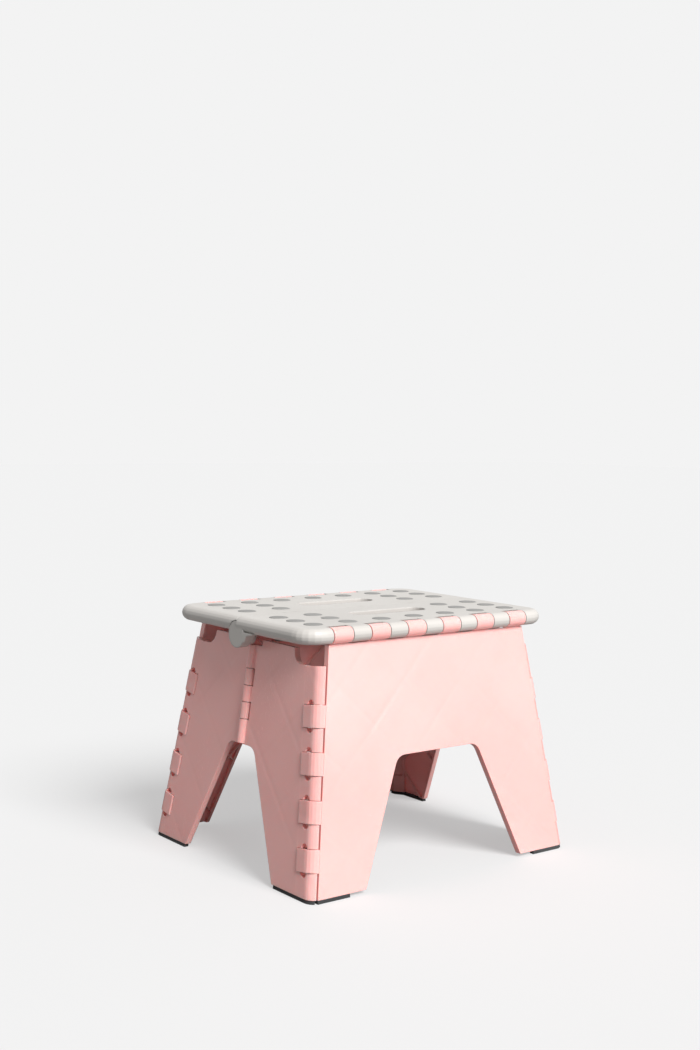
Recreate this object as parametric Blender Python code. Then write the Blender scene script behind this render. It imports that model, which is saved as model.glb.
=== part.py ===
"""Fold-flat step stool: two seat halves, two wide side panels and four end leaves, hinged on moulded rods.

Metres, +X along the long side of the seat, +Y to the rear, +Z up, origin on the floor under the middle.
"""

import bmesh
import bpy
import numpy as np
from math import acos, atan, cos, pi, radians, sin
from mathutils import Matrix, Vector

MM = 0.001

# Overall
HEIGHT = 225 * MM
SEAT_LENGTH = 281 * MM
SEAT_WIDTH = 217 * MM
SEAT_DEPTH = 14 * MM
SEAT_CORNER = 22 * MM
SEAT_SKIN = 6.2 * MM
SEAT_WALL = 9 * MM
SEAT_RIB = 2.2 * MM
SPLIT_GAP = 0.4 * MM
END_SPLAY = 7.9 * MM
SIDE_SPLAY = 21.5 * MM
UNDERSIDE = HEIGHT - SEAT_DEPTH
BASE_LENGTH = SEAT_LENGTH + 2 * END_SPLAY
BASE_WIDTH = SEAT_WIDTH + 2 * SIDE_SPLAY

# Clearances
FIT = 0.3 * MM
END_PLAY = 0.4 * MM
TURN_PLAY = 0.5 * MM
SEAM = 1.2 * MM
STEP = 0.05 * MM
OVERLAP = 1 * MM
FAR = 1.0

# Hand slots
SLOT_LENGTH = 84 * MM
SLOT_WIDTH = 22 * MM
SLOT_OFFSET = 40 * MM
SLOT_WALL = 2.6 * MM

# Rubber dots
DOT_RADIUS = 8.2 * MM
DOT_COLUMNS = 7
DOT_ROWS = 3
DOT_END_MARGIN = 28.6 * MM
DOT_EDGE_MARGIN = 30.7 * MM
DOT_INNER_ROW = 25.6 * MM
DOT_DEPTH = 2.0 * MM
DOT_PROUD = 0.3 * MM
DOT_SIDES = 14
DOT_PITCH_X = (SEAT_LENGTH - 2 * DOT_END_MARGIN) / (DOT_COLUMNS - 1)
DOT_OUTER_ROW = SEAT_WIDTH / 2 - DOT_EDGE_MARGIN
DOT_PITCH_Y = (DOT_OUTER_ROW - DOT_INNER_ROW) / (DOT_ROWS - 1)

# Seat centre hinge
CENTRE_DROP = 2 * MM
EAR_SETBACK = 0.5 * MM
EAR_RADIUS = 12 * MM
EAR_WIDTH = 9.5 * MM
EAR_WEB = 13 * MM
RING_GAP = 0.6 * MM
RING_RADIUS = 10 * MM
RING_WIDTH = 5.4 * MM
MID_EAR_WIDTH = 12 * MM
MID_RING_WIDTH = 12 * MM
MID_EAR_MARGIN = 44.5 * MM
CENTRE_PIN = 3 * MM
CENTRE_PIN_REACH = 5 * MM
CENTRE_Z = UNDERSIDE - CENTRE_DROP
EAR_OUTER_X = SEAT_LENGTH / 2 - EAR_SETBACK
EAR_INNER_X = EAR_OUTER_X - EAR_WIDTH
RING_OUTER_X = EAR_INNER_X - RING_GAP
RING_INNER_X = RING_OUTER_X - RING_WIDTH
MID_EAR_OUTER_X = SEAT_LENGTH / 2 - MID_EAR_MARGIN
MID_EAR_INNER_X = MID_EAR_OUTER_X - MID_EAR_WIDTH
MID_RING_OUTER_X = MID_EAR_INNER_X - RING_GAP
MID_RING_INNER_X = MID_RING_OUTER_X - MID_RING_WIDTH

# Seat to panel hinges
HOOK_COUNT = 6
HOOK_END_MARGIN = 39.6 * MM
HOOK_WIDTH = 20 * MM
HOOK_SWELL = 0.1 * MM
HOOK_CLEAR = 2.1 * MM
HOOK_INSET = 1.1 * MM
HOOK_ROOT = 7 * MM
HOOK_NECK_DEPTH = 2.5 * MM
EDGE_ROD = 3 * MM
EDGE_PLAY = 0.8 * MM
EDGE_SOLID = 19 * MM
EDGE_ROD_END = 14 * MM
EDGE_RADIUS = SEAT_DEPTH / 2
EDGE_Y = SEAT_WIDTH / 2 - EDGE_RADIUS
EDGE_Z = HEIGHT - EDGE_RADIUS
HOOK_RADIUS = EDGE_RADIUS + HOOK_SWELL
HOOK_NOTCH = HOOK_RADIUS + HOOK_CLEAR
HOOK_PITCH = (SEAT_LENGTH - 2 * HOOK_END_MARGIN) / (HOOK_COUNT - 1)

# Walls
PANEL_DEPTH = 6 * MM
PANEL_UNDER = 0.8 * MM
LEAF_DEPTH = 5.5 * MM
LEAF_UNDER = 7 * MM
LEAF_OVERHANG = 20.3 * MM
LEAF_STEP_DROP = 13 * MM
LEAF_STEP_INSET = 43.5 * MM
LEAF_STEP_LEAN = 2 * MM
WALL_SKIN = 2.4 * MM
WALL_RIM = 2.8 * MM
LATTICE_RIB = 1.5 * MM
LATTICE_PITCH = 50 * MM
LATTICE_SHIFT = 1.3 * MM
LATTICE_CELLS = 6
ARCH_TOP = 110 * MM
PANEL_ARCH_INSET = 94.6 * MM
PANEL_FOOT_WIDTH = 56.9 * MM
LEAF_ARCH_TOP_HALF = 20 * MM
LEAF_FOOT_WIDTH = 57 * MM
ARCH_ROUND = 11 * MM
FOOT_ROUND = 7 * MM
PANEL_TOP = UNDERSIDE - PANEL_UNDER
LEAF_TOP = UNDERSIDE - LEAF_UNDER
LEAF_STEP_TOP = LEAF_TOP - LEAF_STEP_DROP
LEAF_STEP_Y = SEAT_WIDTH / 2 - LEAF_STEP_INSET
PANEL_SLOPE = (BASE_WIDTH / 2 - EDGE_Y + HOOK_INSET) / EDGE_Z
LEAF_SLOPE = (BASE_LENGTH / 2 - SEAT_LENGTH / 2 + LEAF_OVERHANG) / LEAF_TOP
PANEL_ARCH_TOP_HALF = SEAT_LENGTH / 2 - PANEL_ARCH_INSET
PANEL_ARCH_FOOT_HALF = BASE_LENGTH / 2 - PANEL_FOOT_WIDTH
LEAF_ARCH_FOOT_HALF = BASE_WIDTH / 2 - LEAF_FOOT_WIDTH

# Corner hinges
CORNER_DEPTH = 6 * MM
CORNER_REACH = 12.5 * MM
CORNER_ROUND = 10 * MM
CORNER_ARC_STEPS = 5
CORNER_TAIL = 9.4 * MM
CORNER_BACK = 5 * MM
CORNER_ROD = 2.9 * MM
HOOK_PROUD = 1.2 * MM
LEAF_EDGE = CORNER_TAIL + TURN_PLAY
CORNER_SPANS = 7
CORNER_TOP_SPAN = 31.5 * MM
CORNER_FOOT_SPAN = 23 * MM
WINDOW_RADIUS = 4.2 * MM

# End centre hinges
MIDDLE_RADIUS = 4.5 * MM
MIDDLE_PLAY = 2.6 * MM
MIDDLE_ROD = 0.8 * MM
MIDDLE_BORE = 3.0 * MM
MIDDLE_SPANS = 3
MIDDLE_TOP_SPAN = 21.2 * MM
MIDDLE_FOOT_SPAN = 21.7 * MM
MIDDLE_GAP = 1.2 * MM
MIDDLE_RELIEF = 14 * MM
MIDDLE_TOP = CENTRE_Z - RING_RADIUS - TURN_PLAY
MIDDLE_BOTTOM = ARCH_TOP + 2 * FIT

# Foot pads
PAD_HEIGHT = 3 * MM
PAD_INSET = 0.6 * MM
PANEL_PAD_WIDTH = 33.5 * MM

ROUND_SIDES = 16
FINE_SIDES = 12
EDGE_STEPS = 4
FULL_ROUND = 0.98

PINK = ("pink plastic", (0.86, 0.52, 0.50), 0.34)
GREY = ("grey plastic", (0.66, 0.64, 0.60), 0.38)
DOT = ("grey rubber", (0.34, 0.34, 0.33), 0.72)
PAD = ("black rubber", (0.02, 0.02, 0.022), 0.8)

PANEL_LEAN = atan(PANEL_SLOPE)
LEAF_LEAN = atan(LEAF_SLOPE)
HALF_TURN = Matrix.Rotation(pi, 4, "Z")


def clear_scene():
    for obj in list(bpy.data.objects):
        bpy.data.objects.remove(obj)


def material(spec):
    name, colour, roughness = spec
    found = bpy.data.materials.get(name)
    if found:
        return found
    made = bpy.data.materials.new(name)
    made.use_nodes = True
    shader = made.node_tree.nodes["Principled BSDF"]
    shader.inputs["Base Color"].default_value = (*colour, 1)
    shader.inputs["Roughness"].default_value = roughness
    shader.inputs["Metallic"].default_value = 0
    return made


def body(name, bm):
    bmesh.ops.recalc_face_normals(bm, faces=bm.faces)
    mesh = bpy.data.meshes.new(name)
    bm.to_mesh(mesh)
    bm.free()
    obj = bpy.data.objects.new(name, mesh)
    bpy.context.scene.collection.objects.link(obj)
    return obj


def prism(name, outline, low, high, frame=Matrix.Identity(4)):
    """A straight prism: outline in the frame's first two axes, from low to high along its third."""
    bm = bmesh.new()
    ring = [bm.verts.new(frame @ Vector((x, y, low))) for x, y in outline]
    face = bm.faces.new(ring)
    grown = bmesh.ops.extrude_face_region(bm, geom=[face])
    lift = frame.to_3x3() @ Vector((0, 0, high - low))
    moved = [g for g in grown["geom"] if isinstance(g, bmesh.types.BMVert)]
    bmesh.ops.translate(bm, verts=moved, vec=lift)
    return body(name, bm)


def block(name, low, high, frame=Matrix.Identity(4)):
    outline = [(low[0], low[1]), (high[0], low[1]), (high[0], high[1]), (low[0], high[1])]
    return prism(name, outline, low[2], high[2], frame)


def rod(name, start, end, radius, sides=ROUND_SIDES):
    """A round bar from start to end."""
    along = (end - start).normalized()
    turn = Vector((0, 0, 1)).rotation_difference(along).to_matrix().to_4x4()
    angles = [2 * pi * (k + 0.5) / sides for k in range(sides)]
    outline = [(radius * cos(angle), radius * sin(angle)) for angle in angles]
    return prism(name, outline, 0, (end - start).length, Matrix.Translation(start) @ turn)


def combine(target, tools, operation):
    for tool in tools:
        modifier = target.modifiers.new("join", "BOOLEAN")
        modifier.operation = operation
        modifier.solver = "EXACT"
        modifier.object = tool
        depsgraph = bpy.context.evaluated_depsgraph_get()
        mesh = bpy.data.meshes.new_from_object(target.evaluated_get(depsgraph))
        target.modifiers.clear()
        old = target.data
        target.data = mesh
        bpy.data.meshes.remove(old)
        tool_mesh = tool.data
        bpy.data.objects.remove(tool)
        bpy.data.meshes.remove(tool_mesh)
    return target


def add(target, *tools):
    return combine(target, tools, "UNION")


def cut(target, *tools):
    return combine(target, tools, "DIFFERENCE")


def rounded(points, radii, steps=4):
    """A polygon with each corner replaced by an arc of the given radius."""
    outline = []
    count = len(points)
    for k, radius in enumerate(radii):
        corner = Vector(points[k])
        back = (Vector(points[k - 1]) - corner).normalized()
        ahead = (Vector(points[(k + 1) % count]) - corner).normalized()
        if radius <= 0:
            outline.append(tuple(corner))
            continue
        half = back.angle(ahead) / 2
        reach = radius / np.tan(half)
        centre = corner + (back + ahead).normalized() * radius / sin(half)
        first = corner + back * reach - centre
        last = corner + ahead * reach - centre
        sweep = first.angle_signed(last)
        for step in range(steps + 1):
            outline.append(tuple(centre + Matrix.Rotation(-sweep * step / steps, 2) @ first))
    return outline


def inset(outline, distance):
    """The outline moved inwards by a distance; counter-clockwise order."""
    moved = []
    count = len(outline)
    for k in range(count):
        here = Vector(outline[k])
        before = (here - Vector(outline[k - 1])).normalized()
        after = (Vector(outline[(k + 1) % count]) - here).normalized()
        side_a = Vector((-before.y, before.x))
        side_b = Vector((-after.y, after.x))
        mitre = side_a + side_b
        moved.append(tuple(here + mitre * (2 * distance / mitre.length_squared)))
    return moved


def finish(obj, spec, pivot, turn=None):
    """Cleans the mesh, gives it its material and puts its origin on its joint axis."""
    if turn:
        obj.data.transform(turn)
        pivot = turn @ pivot
    bm = bmesh.new()
    bm.from_mesh(obj.data)
    bmesh.ops.remove_doubles(bm, verts=bm.verts, dist=0.00001)
    stray = [v for v in bm.verts if not v.link_faces]
    bmesh.ops.delete(bm, geom=stray, context="VERTS")
    bmesh.ops.dissolve_limit(bm, angle_limit=radians(0.1), verts=bm.verts, edges=bm.edges)
    bmesh.ops.triangulate(bm, faces=bm.faces)
    bmesh.ops.recalc_face_normals(bm, faces=bm.faces)
    bmesh.ops.translate(bm, verts=bm.verts, vec=-pivot)
    bm.to_mesh(obj.data)
    bm.free()
    obj.location = pivot
    obj.data.materials.clear()
    obj.data.materials.append(material(spec))
    return obj


# Shared geometry


def panel_frame():
    """Front panel: u along +X, v up the slope, w outwards; origin at the outer face on the floor."""
    up = Vector((0, sin(PANEL_LEAN), cos(PANEL_LEAN)))
    out = Vector((0, -cos(PANEL_LEAN), sin(PANEL_LEAN)))
    turn = Matrix((Vector((1, 0, 0)), up, out)).transposed().to_4x4()
    return Matrix.Translation((0, -BASE_WIDTH / 2, 0)) @ turn


def leaf_frame():
    """Left leaf: u along -Y, v up the slope, w outwards; origin at the outer face on the floor."""
    up = Vector((sin(LEAF_LEAN), 0, cos(LEAF_LEAN)))
    out = Vector((-cos(LEAF_LEAN), 0, sin(LEAF_LEAN)))
    turn = Matrix((Vector((0, -1, 0)), up, out)).transposed().to_4x4()
    return Matrix.Translation((-BASE_LENGTH / 2, 0, 0)) @ turn


def corner_point(z):
    """A point of the front left corner hinge axis, inside the leaf's and the panel's outer faces."""
    x = -BASE_LENGTH / 2 + LEAF_SLOPE * z + CORNER_DEPTH / cos(LEAF_LEAN)
    y = -BASE_WIDTH / 2 + PANEL_SLOPE * z + CORNER_REACH / cos(PANEL_LEAN)
    return Vector((x, y, z))


def corner_frame(z):
    """At the corner axis: outwards of the leaf's face, outwards of the panel's face, up the axis."""
    leaf_out = leaf_frame().to_3x3().col[2]
    panel_out = panel_frame().to_3x3().col[2]
    skew = leaf_out.dot(panel_out)
    across_leaf = (leaf_out - panel_out * skew) / (1 - skew * skew)
    across_panel = (panel_out - leaf_out * skew) / (1 - skew * skew)
    along = (corner_point(HEIGHT) - corner_point(0)).normalized()
    turn = Matrix((across_leaf, across_panel, along)).transposed().to_4x4()
    return Matrix.Translation(corner_point(z)) @ turn


def corner_prism(name, outline, low, high, side=1):
    """A prism along the corner hinge axis between two heights; side -1 is the right end."""
    frame = Matrix.Diagonal((side, 1, 1, 1)) @ corner_frame(low)
    return prism(name, outline, 0, (corner_point(high) - corner_point(low)).length, frame)


def middle_point(z):
    """A point of the left end centre hinge axis, on the outer face of the leaves."""
    return Vector((-BASE_LENGTH / 2 + LEAF_SLOPE * z, 0, z))


def knuckle_spans(top, first, last, count, bottom):
    """Heights of knuckles from the top, in turn for the two parts: one tall, count even ones, one tall."""
    high = top - first
    low = bottom + last
    edges = [top, *(high + (low - high) * k / count for k in range(count + 1)), bottom]
    spans = [(edges[k + 1], edges[k]) for k in range(len(edges) - 1)]
    return spans[0::2], spans[1::2]


def corner_ranges():
    """Corner hinge knuckles: the leaf's barrels, then the panel's hooks."""
    return knuckle_spans(LEAF_STEP_TOP, CORNER_TOP_SPAN, CORNER_FOOT_SPAN, CORNER_SPANS, 0)


def middle_ranges():
    """End centre hinge knuckles of the first leaf, then of the second."""
    return knuckle_spans(MIDDLE_TOP, MIDDLE_TOP_SPAN, MIDDLE_FOOT_SPAN, MIDDLE_SPANS, MIDDLE_BOTTOM)


def hook_centres():
    return [(k - (HOOK_COUNT - 1) / 2) * HOOK_PITCH for k in range(HOOK_COUNT)]


def along_slope(z, lean):
    return z / cos(lean)


def pocket_and_lattice(target, outline, depth, frame):
    """Hollows the wall from inside, leaving a skin, a rim and a diagonal lattice of ribs."""
    inner = inset(outline, WALL_RIM)
    pocket = prism("pocket", inner, -depth - FIT, -WALL_SKIN, frame)
    cell = LATTICE_PITCH - LATTICE_RIB
    bm = bmesh.new()
    reach = range(-LATTICE_CELLS, LATTICE_CELLS + 1)
    for row in reach:
        for column in reach:
            turn = Matrix.Rotation(radians(45), 4, "Z")
            place = turn @ Matrix.Translation((row * LATTICE_PITCH, column * LATTICE_PITCH, 0))
            if place.translation.length > BASE_LENGTH:
                continue
            size = Matrix.Diagonal((cell, cell, depth * 4, 1))
            shift = Matrix.Translation((LATTICE_SHIFT, PANEL_TOP / 2, 0))
            bmesh.ops.create_cube(bm, size=1, matrix=frame @ shift @ place @ size)
    combine(pocket, [body("cells", bm)], "INTERSECT")
    return cut(target, pocket)


def below_floor_line():
    return block("floor cut", (-1, -1, -0.1), (1, 1, PAD_HEIGHT + FIT))


# Seat half


def seat_blank():
    half_x = SEAT_LENGTH / 2
    half_y = SEAT_WIDTH / 2
    corners = [(-half_x, -half_y), (half_x, -half_y), (half_x, half_y), (-half_x, half_y)]
    outline = rounded(corners, [SEAT_CORNER] * 4, 6)
    blank = prism("seat blank", outline, HEIGHT - SEAT_DEPTH, HEIGHT)
    bm = bmesh.new()
    bm.from_mesh(blank.data)
    rim = [e for e in bm.edges if abs(e.verts[0].co.z - e.verts[1].co.z) < 1e-6]
    reach = EDGE_RADIUS * FULL_ROUND
    bmesh.ops.bevel(bm, geom=rim, offset=reach, segments=EDGE_STEPS, profile=0.5, affect="EDGES")
    bm.to_mesh(blank.data)
    bm.free()
    return blank


def slot_outline(grow):
    half = SLOT_WIDTH / 2 + grow
    reach = SLOT_LENGTH / 2 + grow
    corners = [
        (-reach, -SLOT_OFFSET - half),
        (reach, -SLOT_OFFSET - half),
        (reach, -SLOT_OFFSET + half),
        (-reach, -SLOT_OFFSET + half),
    ]
    return rounded(corners, [half * FULL_ROUND] * 4, 5)


def seat_ribs():
    """Ribs across and beside the hand slot, and the wall round it."""
    low = UNDERSIDE
    high = HEIGHT - SEAT_SKIN + FIT
    half = SEAT_RIB / 2
    inner = -SEAT_WALL + OVERLAP
    outer = -SEAT_WIDTH / 2 + EDGE_SOLID - OVERLAP
    ribs = []
    for column in (-2.5, -1.5, 1.5, 2.5):
        at = column * DOT_PITCH_X
        ribs.append(block("rib", (at - half, outer, low), (at + half, inner, high)))
    start = SLOT_LENGTH / 2
    end = SEAT_LENGTH / 2 - SEAT_WALL + OVERLAP
    for x0, x1 in ((-end, -start), (start, end)):
        near = (x0, -SLOT_OFFSET - half, low + 2 * STEP)
        ribs.append(block("rib", near, (x1, -SLOT_OFFSET + half, high)))
    ribs.append(prism("slot wall", slot_outline(SLOT_WALL), low, high))
    return ribs


def dot_places():
    middle = (DOT_COLUMNS - 1) / 2
    places = [((k - middle) * DOT_PITCH_X, -DOT_OUTER_ROW) for k in range(DOT_COLUMNS)]
    for row in range(1, DOT_ROWS):
        for k in (0, 1, DOT_COLUMNS - 2, DOT_COLUMNS - 1):
            places.append(((k - middle) * DOT_PITCH_X, -DOT_OUTER_ROW + row * DOT_PITCH_Y))
    return places


def across(name, x0, x1, y, z, radius, sides=ROUND_SIDES):
    return rod(name, Vector((x0, y, z)), Vector((x1, y, z)), radius, sides)


def ear_web():
    """The foot of the end ear, sloping up to the underside of its own half."""
    low = CENTRE_Z - EAR_RADIUS / 2
    high = UNDERSIDE + OVERLAP
    reach = EAR_RADIUS + EAR_WEB
    outline = [(0, high), (0, low), (-EAR_RADIUS, low), (-EAR_RADIUS - EAR_WEB / 3, UNDERSIDE - CENTRE_DROP)]
    outline += [(-reach, UNDERSIDE), (-reach, high)]
    side_on = Matrix(((0, 0, 1, 0), (1, 0, 0, 0), (0, 1, 0, 0), (0, 0, 0, 1)))
    return prism("ear web", outline, -EAR_OUTER_X, -EAR_INNER_X, side_on)


def seat_knuckles():
    """Knuckles of the front half: ears with pins at the left, rings with bores at the right."""
    return [
        (-EAR_OUTER_X, -EAR_INNER_X, EAR_RADIUS),
        (-MID_EAR_OUTER_X, -MID_EAR_INNER_X, RING_RADIUS),
        (RING_INNER_X, RING_OUTER_X, RING_RADIUS),
        (MID_RING_INNER_X, MID_RING_OUTER_X, RING_RADIUS),
    ]


def seat_half():
    seat = seat_blank()
    cut(seat, block("other half", (-FAR, -SPLIT_GAP / 2, 0), (FAR, FAR, FAR)))
    half_x = SEAT_LENGTH / 2 - SEAT_WALL
    edge = -SEAT_WIDTH / 2 + EDGE_SOLID
    pocket = [(-half_x, edge), (half_x, edge), (half_x, -SEAT_WALL), (-half_x, -SEAT_WALL)]
    hollow = rounded(pocket, [SEAT_WALL] * 4, 2)
    cut(seat, prism("pocket", hollow, UNDERSIDE - FIT, HEIGHT - SEAT_SKIN))
    add(seat, *seat_ribs())
    cut(seat, prism("slot", slot_outline(0), 0, FAR))
    floor = HEIGHT - DOT_DEPTH + DOT_PROUD - FIT
    for x, y in dot_places():
        start = Vector((x, y, floor))
        cut(seat, rod("seat for dot", start, Vector((x, y, FAR)), DOT_RADIUS + FIT, DOT_SIDES))
    for x in hook_centres():
        reach = HOOK_WIDTH / 2 + EDGE_PLAY
        cut(seat, across("hook notch", x - reach, x + reach, -EDGE_Y, EDGE_Z, HOOK_NOTCH, 28))
    reach = hook_centres()[-1] + EDGE_ROD_END
    add(seat, across("edge rod", -reach, reach, -EDGE_Y, EDGE_Z, EDGE_ROD))
    for x0, x1, radius in seat_knuckles():
        beyond = SEAT_LENGTH if x0 == -EAR_OUTER_X else 0
        start = -x1 - END_PLAY
        end = -x0 + END_PLAY + beyond
        cut(seat, across("other knuckle", start, end, 0, CENTRE_Z, radius + TURN_PLAY))
    for x0, x1, radius in seat_knuckles():
        add(seat, across("knuckle", x0, x1, 0, CENTRE_Z, radius))
    add(seat, ear_web())
    for x0, x1 in ((RING_INNER_X, RING_OUTER_X), (MID_RING_INNER_X, MID_RING_OUTER_X)):
        bore = CENTRE_PIN + FIT
        cut(seat, across("bore", x0 - END_PLAY, x1 + END_PLAY, 0, CENTRE_Z, bore, FINE_SIDES))
    for x in (-EAR_INNER_X, -MID_EAR_INNER_X):
        end = x + CENTRE_PIN_REACH
        add(seat, across("pin", x - 2 * OVERLAP, end, 0, CENTRE_Z, CENTRE_PIN, FINE_SIDES))
    return seat


# Wide panel


def panel_end(z):
    """Half the length of the wide panel at a height, one seam inside the end leaf's barrels."""
    return -corner_point(z).x - SEAM


def panel_outline():
    top = along_slope(PANEL_TOP, PANEL_LEAN)
    arch = along_slope(ARCH_TOP, PANEL_LEAN)
    points = [
        (PANEL_ARCH_FOOT_HALF, 0),
        (panel_end(0), 0),
        (panel_end(PANEL_TOP), top),
        (-panel_end(PANEL_TOP), top),
        (-panel_end(0), 0),
        (-PANEL_ARCH_FOOT_HALF, 0),
        (-PANEL_ARCH_TOP_HALF, arch),
        (PANEL_ARCH_TOP_HALF, arch),
    ]
    radii = [FOOT_ROUND, 0, 0, 0, 0, FOOT_ROUND, ARCH_ROUND, ARCH_ROUND]
    return rounded(points, radii)


def corner_bar(name, low, high, radius, side=1, sides=FINE_SIDES):
    turn = Matrix.Diagonal((side, 1, 1))
    return rod(name, turn @ corner_point(low), turn @ corner_point(high), radius, sides)


def corner_hook_outline():
    """Section of a panel's hook: from the panel's end round the corner, past the rod, to its tail."""
    outer = CORNER_DEPTH + HOOK_PROUD
    face = CORNER_REACH - STEP
    root = -SEAM - 2 * WALL_RIM
    points = [
        (root, face),
        (outer, face),
        (outer, -CORNER_TAIL),
        (CORNER_ROD, -CORNER_TAIL),
        (-CORNER_BACK, -CORNER_ROD),
        (-CORNER_BACK, CORNER_REACH - PANEL_DEPTH + STEP),
        (root, CORNER_REACH - PANEL_DEPTH + STEP),
    ]
    radii = [0, CORNER_ROUND, HOOK_PROUD, OVERLAP, CORNER_ROD, 0, 0]
    return rounded(points, radii, CORNER_ARC_STEPS)


def corner_barrel_outline(skin=0):
    """Section of a leaf's barrel: from the leaf's edge, past the rod, round the corner."""
    outer = CORNER_DEPTH - STEP - skin
    face = CORNER_REACH - skin
    back = LEAF_EDGE + 2 * OVERLAP
    points = [
        (outer, -back),
        (CORNER_DEPTH - LEAF_DEPTH + STEP + skin, -back),
        (-CORNER_BACK + skin, -CORNER_ROD),
        (-CORNER_BACK + skin, CORNER_ROD),
        (skin, CORNER_BACK + OVERLAP),
    ]
    radius = CORNER_ROUND - skin
    sweep = acos((skin - outer + radius) / radius)
    angles = [sweep * (1 - k / CORNER_ARC_STEPS) for k in range(CORNER_ARC_STEPS + 1)]
    arc = [(outer - radius + radius * cos(t), face - radius + radius * sin(t)) for t in angles]
    return arc + rounded(points, [0, 0, CORNER_ROD, CORNER_ROD, 0], 3)


def panel():
    frame = panel_frame()
    outline = panel_outline()
    wall = prism("panel", outline, -PANEL_DEPTH, 0, frame)
    pocket_and_lattice(wall, outline, PANEL_DEPTH, frame)
    hook_spans = corner_ranges()[1]
    for side in (1, -1):
        for low, high in hook_spans:
            hook = corner_hook_outline()
            add(wall, corner_prism("hook", hook, low + END_PLAY, high - END_PLAY, side))
        for low, high in hook_spans:
            cut(wall, corner_bar("bore", low, high, CORNER_ROD + FIT, side))
    neck_low = along_slope(PANEL_TOP, PANEL_LEAN) - HOOK_ROOT
    neck_high = along_slope(EDGE_Z - EDGE_ROD, PANEL_LEAN)
    for x in hook_centres():
        half = HOOK_WIDTH / 2
        side = half - 2 * STEP
        low = (x - side, neck_low, -HOOK_NECK_DEPTH)
        high = (x + side, neck_high, -STEP)
        add(wall, block("neck", low, high, frame))
        add(wall, across("hook", x - half, x + half, -EDGE_Y, EDGE_Z, HOOK_RADIUS, 24))
    for x in hook_centres():
        half = HOOK_WIDTH / 2 + END_PLAY
        cut(wall, across("bore", x - half, x + half, -EDGE_Y, EDGE_Z, EDGE_ROD + FIT, FINE_SIDES))
    return cut(wall, below_floor_line())


# End leaf


def leaf_end(z):
    """Half the width of the pair of end leaves at a height, without the barrels."""
    return -corner_point(z).y - LEAF_EDGE


def leaf_outline():
    top = along_slope(LEAF_TOP, LEAF_LEAN)
    middle = along_slope(MIDDLE_TOP, LEAF_LEAN)
    step = along_slope(LEAF_STEP_TOP, LEAF_LEAN)
    arch = along_slope(ARCH_TOP, LEAF_LEAN)
    points = [
        (MIDDLE_GAP, arch),
        (LEAF_ARCH_TOP_HALF, arch),
        (LEAF_ARCH_FOOT_HALF, 0),
        (leaf_end(0), 0),
        (leaf_end(LEAF_STEP_TOP), step),
        (LEAF_STEP_Y, step),
        (LEAF_STEP_Y - LEAF_STEP_LEAN, top),
        (MIDDLE_RELIEF, top),
        (MIDDLE_RELIEF, middle),
        (MIDDLE_GAP, middle),
    ]
    radii = [0, ARCH_ROUND, 0, 0, 0, ARCH_ROUND, 0, 0, 0, 0]
    return rounded(points, radii)


def middle_bar(name, low, high, radius, sides=ROUND_SIDES):
    return rod(name, middle_point(low), middle_point(high), radius, sides)


def corner_window(z):
    """A cut from outside down to the rod, at the end of a barrel."""
    frame = corner_frame(z) @ Matrix.Rotation(pi / 2, 4, "Y")
    angles = [2 * pi * k / FINE_SIDES for k in range(FINE_SIDES)]
    outline = [(WINDOW_RADIUS * cos(angle), WINDOW_RADIUS * sin(angle)) for angle in angles]
    return prism("window", outline, CORNER_ROD - FIT, CORNER_DEPTH * 2, frame)


def leaf(first):
    """A left leaf on the front side; first tells whether it carries the top knuckle."""
    frame = leaf_frame()
    outline = leaf_outline()
    wall = prism("leaf", outline, -LEAF_DEPTH, 0, frame)
    pocket_and_lattice(wall, outline, LEAF_DEPTH, frame)
    barrel_spans, hook_spans = corner_ranges()
    for low, high in barrel_spans:
        add(wall, corner_prism("barrel", corner_barrel_outline(), low, high))
    for low, high in hook_spans:
        cut(wall, corner_window(low))
        cut(wall, corner_window(high))
    add(wall, corner_bar("rod", PAD_HEIGHT, LEAF_STEP_TOP - 2 * OVERLAP, CORNER_ROD))
    own, other = middle_ranges() if first else middle_ranges()[::-1]
    for low, high in other:
        under = low - ARCH_ROUND if low <= MIDDLE_BOTTOM else low - 2 * FIT
        above = high + ARCH_ROUND if high >= MIDDLE_TOP else high + 2 * FIT
        cut(wall, middle_bar("notch", under, above, MIDDLE_RADIUS + MIDDLE_PLAY))
    for low, high in own:
        add(wall, middle_bar("knuckle", low + FIT, high - FIT, MIDDLE_RADIUS))
    if first:
        start = MIDDLE_BOTTOM + 2 * OVERLAP
        end = MIDDLE_TOP - 2 * OVERLAP
        add(wall, middle_bar("rod", start, end, MIDDLE_ROD, FINE_SIDES))
    else:
        for low, high in own:
            cut(wall, middle_bar("bore", low, high, MIDDLE_BORE, FINE_SIDES))
    return cut(wall, below_floor_line())


# Feet and dots


def above_floor(pad):
    slab = block("slab", (-FAR, -FAR, 0), (FAR, FAR, PAD_HEIGHT))
    return combine(pad, [slab], "INTERSECT")


def panel_pad(side):
    """A pad under the outer part of one leg of the front panel."""
    outer = side * (panel_end(0) - PAD_INSET)
    inner = outer - side * PANEL_PAD_WIDTH
    low = (min(inner, outer), -3 * PAD_HEIGHT, -PANEL_DEPTH + PAD_INSET)
    high = (max(inner, outer), 3 * PAD_HEIGHT, -PAD_INSET)
    return above_floor(block("pad", low, high, panel_frame()))


def leaf_pad():
    """A pad under a whole leaf foot, corner barrel included."""
    low = (LEAF_ARCH_FOOT_HALF + PAD_INSET, -3 * PAD_HEIGHT, -LEAF_DEPTH + PAD_INSET)
    high = (leaf_end(0), 3 * PAD_HEIGHT, -PAD_INSET)
    pad = block("pad", low, high, leaf_frame())
    corner = corner_barrel_outline(PAD_INSET)
    add(pad, corner_prism("corner", corner, -3 * PAD_HEIGHT, 3 * PAD_HEIGHT))
    return above_floor(pad)


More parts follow.
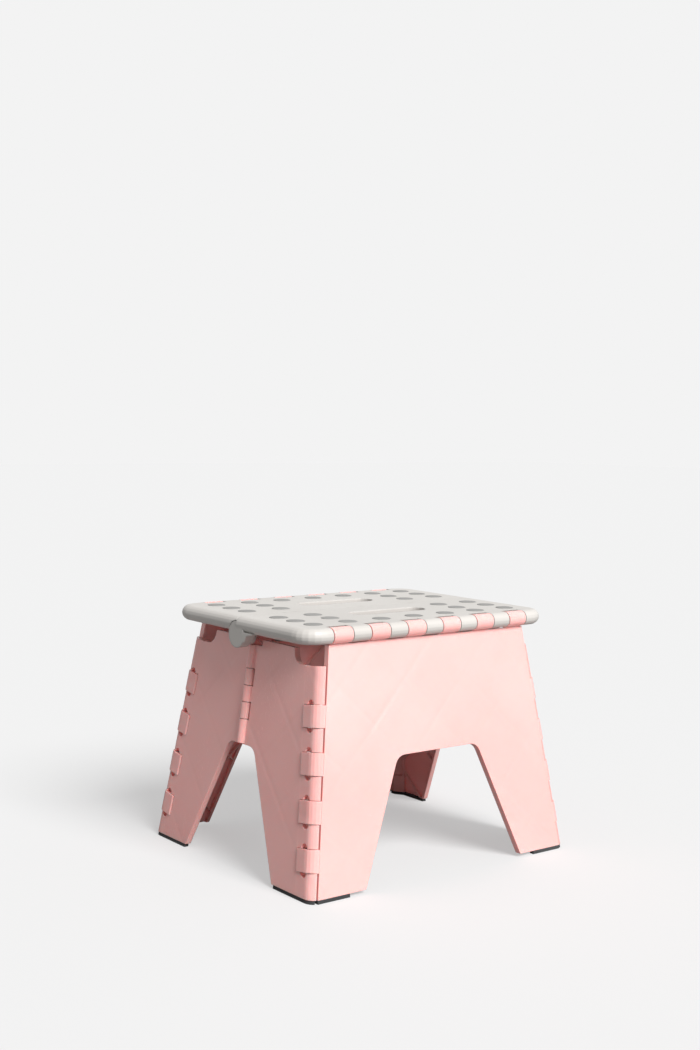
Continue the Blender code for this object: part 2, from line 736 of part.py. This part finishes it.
def named(obj, name):
    obj.name = name
    obj.data.name = name
    return obj


def mirrored(obj):
    """Mirrors front to rear."""
    obj.data.transform(Matrix.Diagonal((1, -1, 1, 1)))
    obj.data.flip_normals()
    return obj


def build():
    clear_scene()
    centre = Vector((0, 0, CENTRE_Z))
    edge = Vector((0, -EDGE_Y, EDGE_Z))
    corner = corner_point(HEIGHT / 2)
    corner_back = Vector((corner.x, -corner.y, corner.z))
    for end, turn in (("front", None), ("rear", HALF_TURN)):
        finish(named(seat_half(), f"seat_{end}"), GREY, centre, turn)
        finish(named(panel(), f"panel_{end}"), PINK, edge, turn)
        for k, (x, y) in enumerate(dot_places()):
            top = HEIGHT + DOT_PROUD
            dot = rod("dot", Vector((x, y, top - DOT_DEPTH)), Vector((x, y, top)), DOT_RADIUS, DOT_SIDES)
            finish(named(dot, f"dot_{end}_{k + 1:02d}"), DOT, centre, turn)
        for side, hand in ((-1, "left"), (1, "right")):
            seen = hand if end == "front" else {"left": "right", "right": "left"}[hand]
            finish(named(panel_pad(side), f"foot_panel_{end}_{seen}"), PAD, edge, turn)
    pairs = (("left_front", "left_rear", None), ("right_rear", "right_front", HALF_TURN))
    for first, second, turn in pairs:
        finish(named(leaf(True), f"leaf_{first}"), PINK, corner, turn)
        finish(named(mirrored(leaf(False)), f"leaf_{second}"), PINK, corner_back, turn)
        finish(named(leaf_pad(), f"foot_leaf_{first}"), PAD, corner, turn)
        finish(named(mirrored(leaf_pad()), f"foot_leaf_{second}"), PAD, corner_back, turn)


build()
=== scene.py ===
"""Fold-flat step stool: moulded plastic finishes, rounded edges, soft studio light and the camera."""

from math import cos, radians, sin, sqrt

import bmesh
import bpy
from mathutils import Matrix, Vector

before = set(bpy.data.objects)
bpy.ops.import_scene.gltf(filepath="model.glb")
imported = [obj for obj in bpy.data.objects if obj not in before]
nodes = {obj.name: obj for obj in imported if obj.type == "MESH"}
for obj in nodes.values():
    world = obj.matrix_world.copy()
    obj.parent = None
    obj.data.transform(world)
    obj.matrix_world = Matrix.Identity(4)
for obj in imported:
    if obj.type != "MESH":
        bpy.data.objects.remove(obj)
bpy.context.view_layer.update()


MM = 0.001

# Sizes of the moulded detail.
LATTICE_PITCH = 50 * MM
LATTICE_SHIFT = 1.3 * MM
LATTICE_MIDDLE = 105.1 * MM
PANEL_SLOPE = 0.1358
LEAF_SLOPE = 0.1382
SINK_WIDTH = 4.5 * MM
SINK_DEPTH = 0.16 * MM
GRAIN_DEPTH = 0.04 * MM
WAVE_DEPTH = 0.9 * MM
EDGE_SOFTNESS = 0.8 * MM
RIM_SOFTNESS = 1.8 * MM
SMOOTH_BELOW = 34

# Noise scales, in repeats to a metre.
GRAIN_SCALE = 1500
SPECK_SCALE = 900
STREAK_SCALE = 120
EDGE_SCALE = 70
DUST_SCALE = 30
WAVE_SCALE = 22
RUB_SCALE = 14
MOTTLE_SCALE = 9

# How far wear, dust and mottle change a finish.
BUMP_STRENGTH = 0.5
ROUGHNESS_SPREAD = 0.05
RUBBED_ROUGHNESS = 0.22
EDGE_POLISH = 0.08
EDGE_PALING = 0.5
EDGE_LIFT = 0.3
DUST_GAIN = 1.12
DUST_LIFT = 0.02

# Light that passes through the pink plastic.
PINK_GLOW = 0.5
GLOW_DEPTH = 3.5 * MM
GLOW_SPREAD = (1.0, 0.32, 0.26)

PINK = (0.96, 0.505, 0.475, 1)
PINK_DEEP = (0.95, 0.47, 0.44, 1)
GREY = (0.56, 0.535, 0.505, 1)
GREY_DEEP = (0.52, 0.495, 0.465, 1)
RUBBER = (0.245, 0.24, 0.23, 1)
RUBBER_PALE = (0.285, 0.28, 0.27, 1)
BLACK = (0.014, 0.014, 0.016, 1)
BLACK_DUSTY = (0.05, 0.05, 0.05, 1)
WHITE = (1, 1, 1, 1)

PLASTIC_IOR = 1.49
RUBBER_IOR = 1.5

# The studio.
KEY_STRENGTH = 4.6
KEY_SPREAD = 30
KEY_RISE = 40
KEY_TURN = 1
CARD_PLACE = (0.64, -1.16, 0.29)
CARD_AIM = (-0.1, -0.1, 0.19)
CARD_SIZE = (0.22, 0.22)
CARD_POWER = 0.5
FILL = 0.32
BACKDROP = 0.896
FLOOR_REACH = 12
FLOOR_TONE = (0.35, 0.35, 0.35, 1)
FLOOR_ROUGHNESS = 0.9
FLOOR_LIFT = 0.45
FLOOR_BOUNCE = (0.3, 0.3, 0.3, 1)

# The camera.
CAMERA_PLACE = (-0.8231, -1.0625, 0.3929)
CAMERA_YAW = 37.276
CAMERA_DIP = 3.873
CAMERA_ROLL = 0.813
CAMERA_LENS = 49.0
CAMERA_SENSOR = 36


# ---- shader groups ----


class Tree:
    """A node tree with short calls for the nodes that the finishes use."""

    def __init__(self, tree):
        self.tree = tree

    def node(self, kind, **settings):
        made = self.tree.nodes.new(kind)
        for key, value in settings.items():
            setattr(made, key, value)
        return made

    def link(self, source, target):
        self.tree.links.new(source, target)

    def math(self, operation, first, second=None):
        made = self.node("ShaderNodeMath", operation=operation)
        for socket, value in zip(made.inputs, (first, second)):
            if value is None:
                continue
            if isinstance(value, (int, float)):
                socket.default_value = value
            else:
                self.link(value, socket)
        return made.outputs[0]

    def noise(self, vector, scale, detail=3.0, rough=0.5):
        made = self.node("ShaderNodeTexNoise")
        made.inputs["Scale"].default_value = scale
        made.inputs["Detail"].default_value = detail
        made.inputs["Roughness"].default_value = rough
        self.link(vector, made.inputs["Vector"])
        return made.outputs["Fac"]

    def ramp(self, value, low, high, smooth=True):
        made = self.node("ShaderNodeMapRange")
        made.interpolation_type = "SMOOTHSTEP" if smooth else "LINEAR"
        made.inputs["From Min"].default_value = low
        made.inputs["From Max"].default_value = high
        self.link(value, made.inputs["Value"])
        return made.outputs["Result"]

    def mix(self, factor, first, second):
        made = self.node("ShaderNodeMix", data_type="RGBA")
        colours = [s for s in made.inputs if s.type == "RGBA"]
        self.link(factor, made.inputs[0])
        for socket, value in zip(colours, (first, second)):
            if isinstance(value, tuple):
                socket.default_value = value
            else:
                self.link(value, socket)
        return [s for s in made.outputs if s.type == "RGBA"][0]


def group(name, inputs, outputs):
    made = bpy.data.node_groups.new(name, "ShaderNodeTree")
    for label, kind, value in inputs:
        socket = made.interface.new_socket(label, in_out="INPUT", socket_type=kind)
        if value is not None:
            socket.default_value = value
    for label, kind in outputs:
        made.interface.new_socket(label, in_out="OUTPUT", socket_type=kind)
    tree = Tree(made)
    return made, tree, tree.node("NodeGroupInput"), tree.node("NodeGroupOutput")


def moulded_grain():
    """Fine spark-eroded texture with a slow waviness under it."""
    made, tree, source, target = group(
        "moulded grain",
        [
            ("Vector", "NodeSocketVector", None),
            ("Grain", "NodeSocketFloat", 1.0),
            ("Wave", "NodeSocketFloat", 1.0),
        ],
        [("Height", "NodeSocketFloat"), ("Mottle", "NodeSocketFloat")],
    )
    vector = source.outputs["Vector"]
    fine = tree.math("MULTIPLY", tree.noise(vector, GRAIN_SCALE, 2.0), source.outputs["Grain"])
    slow = tree.math("MULTIPLY", tree.noise(vector, WAVE_SCALE, 2.0), source.outputs["Wave"])
    fine = tree.math("MULTIPLY", fine, GRAIN_DEPTH)
    slow = tree.math("MULTIPLY", slow, WAVE_DEPTH)
    tree.link(tree.math("ADD", fine, slow), target.inputs["Height"])
    tree.link(tree.noise(vector, MOTTLE_SCALE, 4.0), target.inputs["Mottle"])
    return made


def handling():
    """Fine rubs from handling and a little settled dust."""
    made, tree, source, target = group(
        "handling rubs",
        [("Vector", "NodeSocketVector", None), ("Amount", "NodeSocketFloat", 0.5)],
        [("Rubs", "NodeSocketFloat"), ("Dust", "NodeSocketFloat")],
    )
    vector = source.outputs["Vector"]
    stretch = tree.node("ShaderNodeMapping")
    stretch.inputs["Scale"].default_value = (1, 7, 2)
    stretch.inputs["Rotation"].default_value = (0.4, 0.3, 0.9)
    tree.link(vector, stretch.inputs["Vector"])
    streaks = tree.ramp(tree.noise(stretch.outputs[0], STREAK_SCALE, 5.0, 0.7), 0.56, 0.74)
    where = tree.ramp(tree.noise(vector, RUB_SCALE, 3.0), 0.45, 0.7)
    rubs = tree.math("MULTIPLY", streaks, where)
    rubs = tree.math("MULTIPLY", rubs, source.outputs["Amount"])
    tree.link(rubs, target.inputs["Rubs"])
    specks = tree.ramp(tree.noise(vector, SPECK_SCALE, 2.0, 0.6), 0.66, 0.76)
    dust = tree.math("MULTIPLY", specks, tree.noise(vector, DUST_SCALE))
    dust = tree.math("MULTIPLY", dust, source.outputs["Amount"])
    tree.link(dust, target.inputs["Dust"])
    return made


def rib_sink():
    """Shallow sink marks over a diagonal lattice of ribs behind the skin."""
    made, tree, source, target = group(
        "rib sink marks",
        [
            ("Along", "NodeSocketFloat", 0.0),
            ("Up", "NodeSocketFloat", 0.0),
            ("Pitch", "NodeSocketFloat", LATTICE_PITCH),
        ],
        [("Height", "NodeSocketFloat")],
    )
    total = None
    for operation in ("ADD", "SUBTRACT"):
        across = tree.math(operation, source.outputs["Along"], source.outputs["Up"])
        across = tree.math("MULTIPLY", across, sqrt(0.5))
        half = tree.math("MULTIPLY", source.outputs["Pitch"], 0.5)
        near = tree.math("PINGPONG", tree.math("ADD", across, half), half)
        dip = tree.ramp(near, 0.0, SINK_WIDTH)
        total = dip if total is None else tree.math("ADD", total, dip)
    tree.link(tree.math("MULTIPLY", total, SINK_DEPTH), target.inputs["Height"])
    return made


def soft_edges():
    """Normals rolled over each edge, and a mask of the edges that handling polishes and pales."""
    made, tree, source, target = group(
        "soft edges",
        [("Vector", "NodeSocketVector", None), ("Radius", "NodeSocketFloat", EDGE_SOFTNESS)],
        [("Normal", "NodeSocketVector"), ("Edge", "NodeSocketFloat")],
    )
    rolled = tree.node("ShaderNodeBevel", samples=6)
    tree.link(source.outputs["Radius"], rolled.inputs["Radius"])
    tree.link(rolled.outputs[0], target.inputs["Normal"])
    flat = tree.node("ShaderNodeNewGeometry").outputs["Normal"]
    lean = tree.node("ShaderNodeVectorMath", operation="DOT_PRODUCT")
    tree.link(rolled.outputs[0], lean.inputs[0])
    tree.link(flat, lean.inputs[1])
    edge = tree.ramp(tree.math("SUBTRACT", 1.0, lean.outputs["Value"]), 0.02, 0.28)
    broken = tree.ramp(tree.noise(source.outputs["Vector"], EDGE_SCALE, 4.0, 0.6), 0.32, 0.62)
    tree.link(tree.math("MULTIPLY", edge, broken), target.inputs["Edge"])
    return made


GRAIN = moulded_grain()
EDGES = soft_edges()
HANDLING = handling()
SINK = rib_sink()


def place_group(tree, made, place, **values):
    """A group node that reads the piece's own coordinates."""
    node = tree.node("ShaderNodeGroup", node_tree=made)
    tree.link(place, node.inputs["Vector"])
    for label, value in values.items():
        node.inputs[label].default_value = value
    return node


def sink_height(tree, place, axis, slope):
    """Sink marks laid out along a wall, and up its slope."""
    split = tree.node("ShaderNodeSeparateXYZ")
    tree.link(place, split.inputs[0])
    marks = tree.node("ShaderNodeGroup", node_tree=SINK)
    marks.inputs["Pitch"].default_value = LATTICE_PITCH
    along = tree.math("SUBTRACT", split.outputs[axis], LATTICE_SHIFT)
    tree.link(along, marks.inputs["Along"])
    climb = tree.math("MULTIPLY", split.outputs["Z"], sqrt(1 + slope * slope))
    tree.link(tree.math("SUBTRACT", climb, LATTICE_MIDDLE), marks.inputs["Up"])
    return marks.outputs["Height"]


def finish(
    name, pale, deep, roughness, grain, wave, rubs, sink=None, ior=PLASTIC_IOR, glow=0.0, soft=EDGE_SOFTNESS
):
    """A moulded or rubber finish: mottled colour, worn edges, uneven gloss, grain and sink marks."""
    made = bpy.data.materials.new(name)
    made.use_nodes = True
    tree = Tree(made.node_tree)
    shader = made.node_tree.nodes["Principled BSDF"]
    place = tree.node("ShaderNodeTexCoord").outputs["Object"]
    skin = place_group(tree, GRAIN, place, Grain=grain, Wave=wave)
    worn = place_group(tree, HANDLING, place, Amount=rubs)
    edges = place_group(tree, EDGES, place, Radius=soft)

    mottle = tree.ramp(skin.outputs["Mottle"], 0.3, 0.7)
    colour = tree.mix(mottle, pale, deep)
    dusty = tuple(min(1, c * DUST_GAIN + DUST_LIFT) for c in pale[:3]) + (1,)
    colour = tree.mix(worn.outputs["Dust"], colour, dusty)
    pale_edge = tuple(c + (1 - c) * EDGE_LIFT for c in pale[:3]) + (1,)
    colour = tree.mix(tree.math("MULTIPLY", edges.outputs["Edge"], EDGE_PALING), colour, pale_edge)
    tree.link(colour, shader.inputs["Base Color"])

    uneven = tree.math("MULTIPLY", tree.math("SUBTRACT", skin.outputs["Mottle"], 0.5), ROUGHNESS_SPREAD)
    rubbed = tree.math("MULTIPLY", worn.outputs["Rubs"], RUBBED_ROUGHNESS)
    polished = tree.math("MULTIPLY", edges.outputs["Edge"], EDGE_POLISH)
    rough = tree.math("ADD", tree.math("ADD", uneven, roughness), rubbed)
    tree.link(tree.math("SUBTRACT", rough, polished), shader.inputs["Roughness"])

    height = skin.outputs["Height"]
    if sink:
        height = tree.math("ADD", height, sink_height(tree, place, *sink))
    bump = tree.node("ShaderNodeBump")
    bump.inputs["Distance"].default_value = 1.0
    bump.inputs["Strength"].default_value = BUMP_STRENGTH
    tree.link(height, bump.inputs["Height"])
    tree.link(edges.outputs["Normal"], bump.inputs["Normal"])
    tree.link(bump.outputs["Normal"], shader.inputs["Normal"])

    shader.inputs["IOR"].default_value = ior
    if glow:
        shader.inputs["Subsurface Weight"].default_value = glow
        shader.inputs["Subsurface Radius"].default_value = GLOW_SPREAD
        shader.inputs["Subsurface Scale"].default_value = GLOW_DEPTH
    return made


PINK_PANEL = finish(
    "pink panel plastic", PINK, PINK_DEEP, 0.2, 0.5, 0.7, 0.5, ("X", PANEL_SLOPE), glow=PINK_GLOW
)
PINK_LEAF = finish(
    "pink leaf plastic", PINK, PINK_DEEP, 0.26, 0.6, 0.5, 0.5, ("Y", LEAF_SLOPE), glow=PINK_GLOW
)
GREY_TOP = finish("grey top plastic", GREY, GREY_DEEP, 0.42, 1.6, 0.3, 0.6, soft=RIM_SOFTNESS)
DOT_RUBBER = finish("dot rubber", RUBBER, RUBBER_PALE, 0.74, 2.5, 0.2, 0.4, ior=RUBBER_IOR)
FOOT_RUBBER = finish("foot rubber", BLACK, BLACK_DUSTY, 0.82, 3.0, 0.2, 0.8, ior=RUBBER_IOR)
FINISHES = {
    "seat_": GREY_TOP,
    "dot_": DOT_RUBBER,
    "foot_": FOOT_RUBBER,
    "panel_": PINK_PANEL,
    "leaf_": PINK_LEAF,
}


def dress():
    for name, obj in nodes.items():
        start = next(key for key in FINISHES if name.startswith(key))
        obj.data.materials.clear()
        obj.data.materials.append(FINISHES[start])
        obj.data.shade_smooth()
        obj.data.set_sharp_from_angle(angle=radians(SMOOTH_BELOW))


dress()


# ---- studio ----


def floor():
    """A pale floor with a soft shadow, which throws only a little light back at the object."""
    mesh = bpy.data.meshes.new("floor")
    bm = bmesh.new()
    bmesh.ops.create_grid(bm, x_segments=1, y_segments=1, size=FLOOR_REACH)
    bm.to_mesh(mesh)
    bm.free()
    obj = bpy.data.objects.new("floor", mesh)
    bpy.context.scene.collection.objects.link(obj)
    made = bpy.data.materials.new("studio floor")
    made.use_nodes = True
    tree = Tree(made.node_tree)
    seen = made.node_tree.nodes["Principled BSDF"]
    seen.inputs["Base Color"].default_value = FLOOR_TONE
    seen.inputs["Roughness"].default_value = FLOOR_ROUGHNESS
    seen.inputs["Specular IOR Level"].default_value = 0.0
    seen.inputs["Emission Color"].default_value = WHITE
    seen.inputs["Emission Strength"].default_value = FLOOR_LIFT
    bounce = tree.node("ShaderNodeBsdfDiffuse")
    bounce.inputs["Color"].default_value = FLOOR_BOUNCE
    either = tree.node("ShaderNodeMixShader")
    tree.link(tree.node("ShaderNodeLightPath").outputs["Is Camera Ray"], either.inputs[0])
    tree.link(bounce.outputs[0], either.inputs[1])
    tree.link(seen.outputs[0], either.inputs[2])
    tree.link(either.outputs[0], made.node_tree.nodes["Material Output"].inputs["Surface"])
    obj.data.materials.append(made)


def key_light():
    """One broad soft light from the front, high enough to leave the left end in shade."""
    data = bpy.data.lights.new("key", "SUN")
    data.energy = KEY_STRENGTH
    data.angle = radians(KEY_SPREAD)
    obj = bpy.data.objects.new("key", data)
    rise, turn = radians(KEY_RISE), radians(KEY_TURN)
    towards = Vector((sin(turn) * cos(rise), -cos(turn) * cos(rise), sin(rise)))
    obj.rotation_euler = towards.to_track_quat("Z", "Y").to_euler()
    bpy.context.scene.collection.objects.link(obj)


def card():
    """A softbox low on the right whose sheen lies along the top of the front wall."""
    data = bpy.data.lights.new("card", "AREA")
    data.shape = "RECTANGLE"
    data.size, data.size_y = CARD_SIZE
    data.energy = CARD_POWER
    obj = bpy.data.objects.new("card", data)
    obj.location = CARD_PLACE
    obj.rotation_euler = (Vector(CARD_AIM) - Vector(CARD_PLACE)).to_track_quat("-Z", "Y").to_euler()
    obj.visible_camera = False
    bpy.context.scene.collection.objects.link(obj)


def surroundings():
    """A pale backdrop that lights the object only faintly."""
    world = bpy.data.worlds.new("studio")
    bpy.context.scene.world = world
    world.use_nodes = True
    tree = Tree(world.node_tree)
    fill = world.node_tree.nodes["Background"]
    fill.inputs["Color"].default_value = WHITE
    fill.inputs["Strength"].default_value = FILL
    backdrop = tree.node("ShaderNodeBackground")
    backdrop.inputs["Color"].default_value = WHITE
    backdrop.inputs["Strength"].default_value = BACKDROP
    rays = tree.node("ShaderNodeLightPath")
    either = tree.node("ShaderNodeMixShader")
    shown = tree.math("MAXIMUM", rays.outputs["Is Camera Ray"], rays.outputs["Is Glossy Ray"])
    tree.link(shown, either.inputs[0])
    tree.link(fill.outputs[0], either.inputs[1])
    tree.link(backdrop.outputs[0], either.inputs[2])
    tree.link(either.outputs[0], world.node_tree.nodes["World Output"].inputs["Surface"])


def studio():
    floor()
    key_light()
    card()
    surroundings()
    bpy.context.scene.view_settings.view_transform = "Standard"


def camera():
    yaw, pitch, roll = radians(CAMERA_YAW), radians(CAMERA_DIP), radians(CAMERA_ROLL)
    forward = Vector((sin(yaw) * cos(pitch), cos(yaw) * cos(pitch), -sin(pitch)))
    right = Vector((cos(yaw), -sin(yaw), 0))
    up = right.cross(forward)
    across = right * cos(roll) + up * sin(roll)
    rise = up * cos(roll) - right * sin(roll)
    data = bpy.data.cameras.new("camera")
    data.lens = CAMERA_LENS
    data.sensor_width = CAMERA_SENSOR
    obj = bpy.data.objects.new("camera", data)
    turn = Matrix((across, rise, -forward)).transposed().to_4x4()
    obj.matrix_world = Matrix.Translation(CAMERA_PLACE) @ turn
    bpy.context.scene.collection.objects.link(obj)
    bpy.context.scene.camera = obj


studio()
camera()
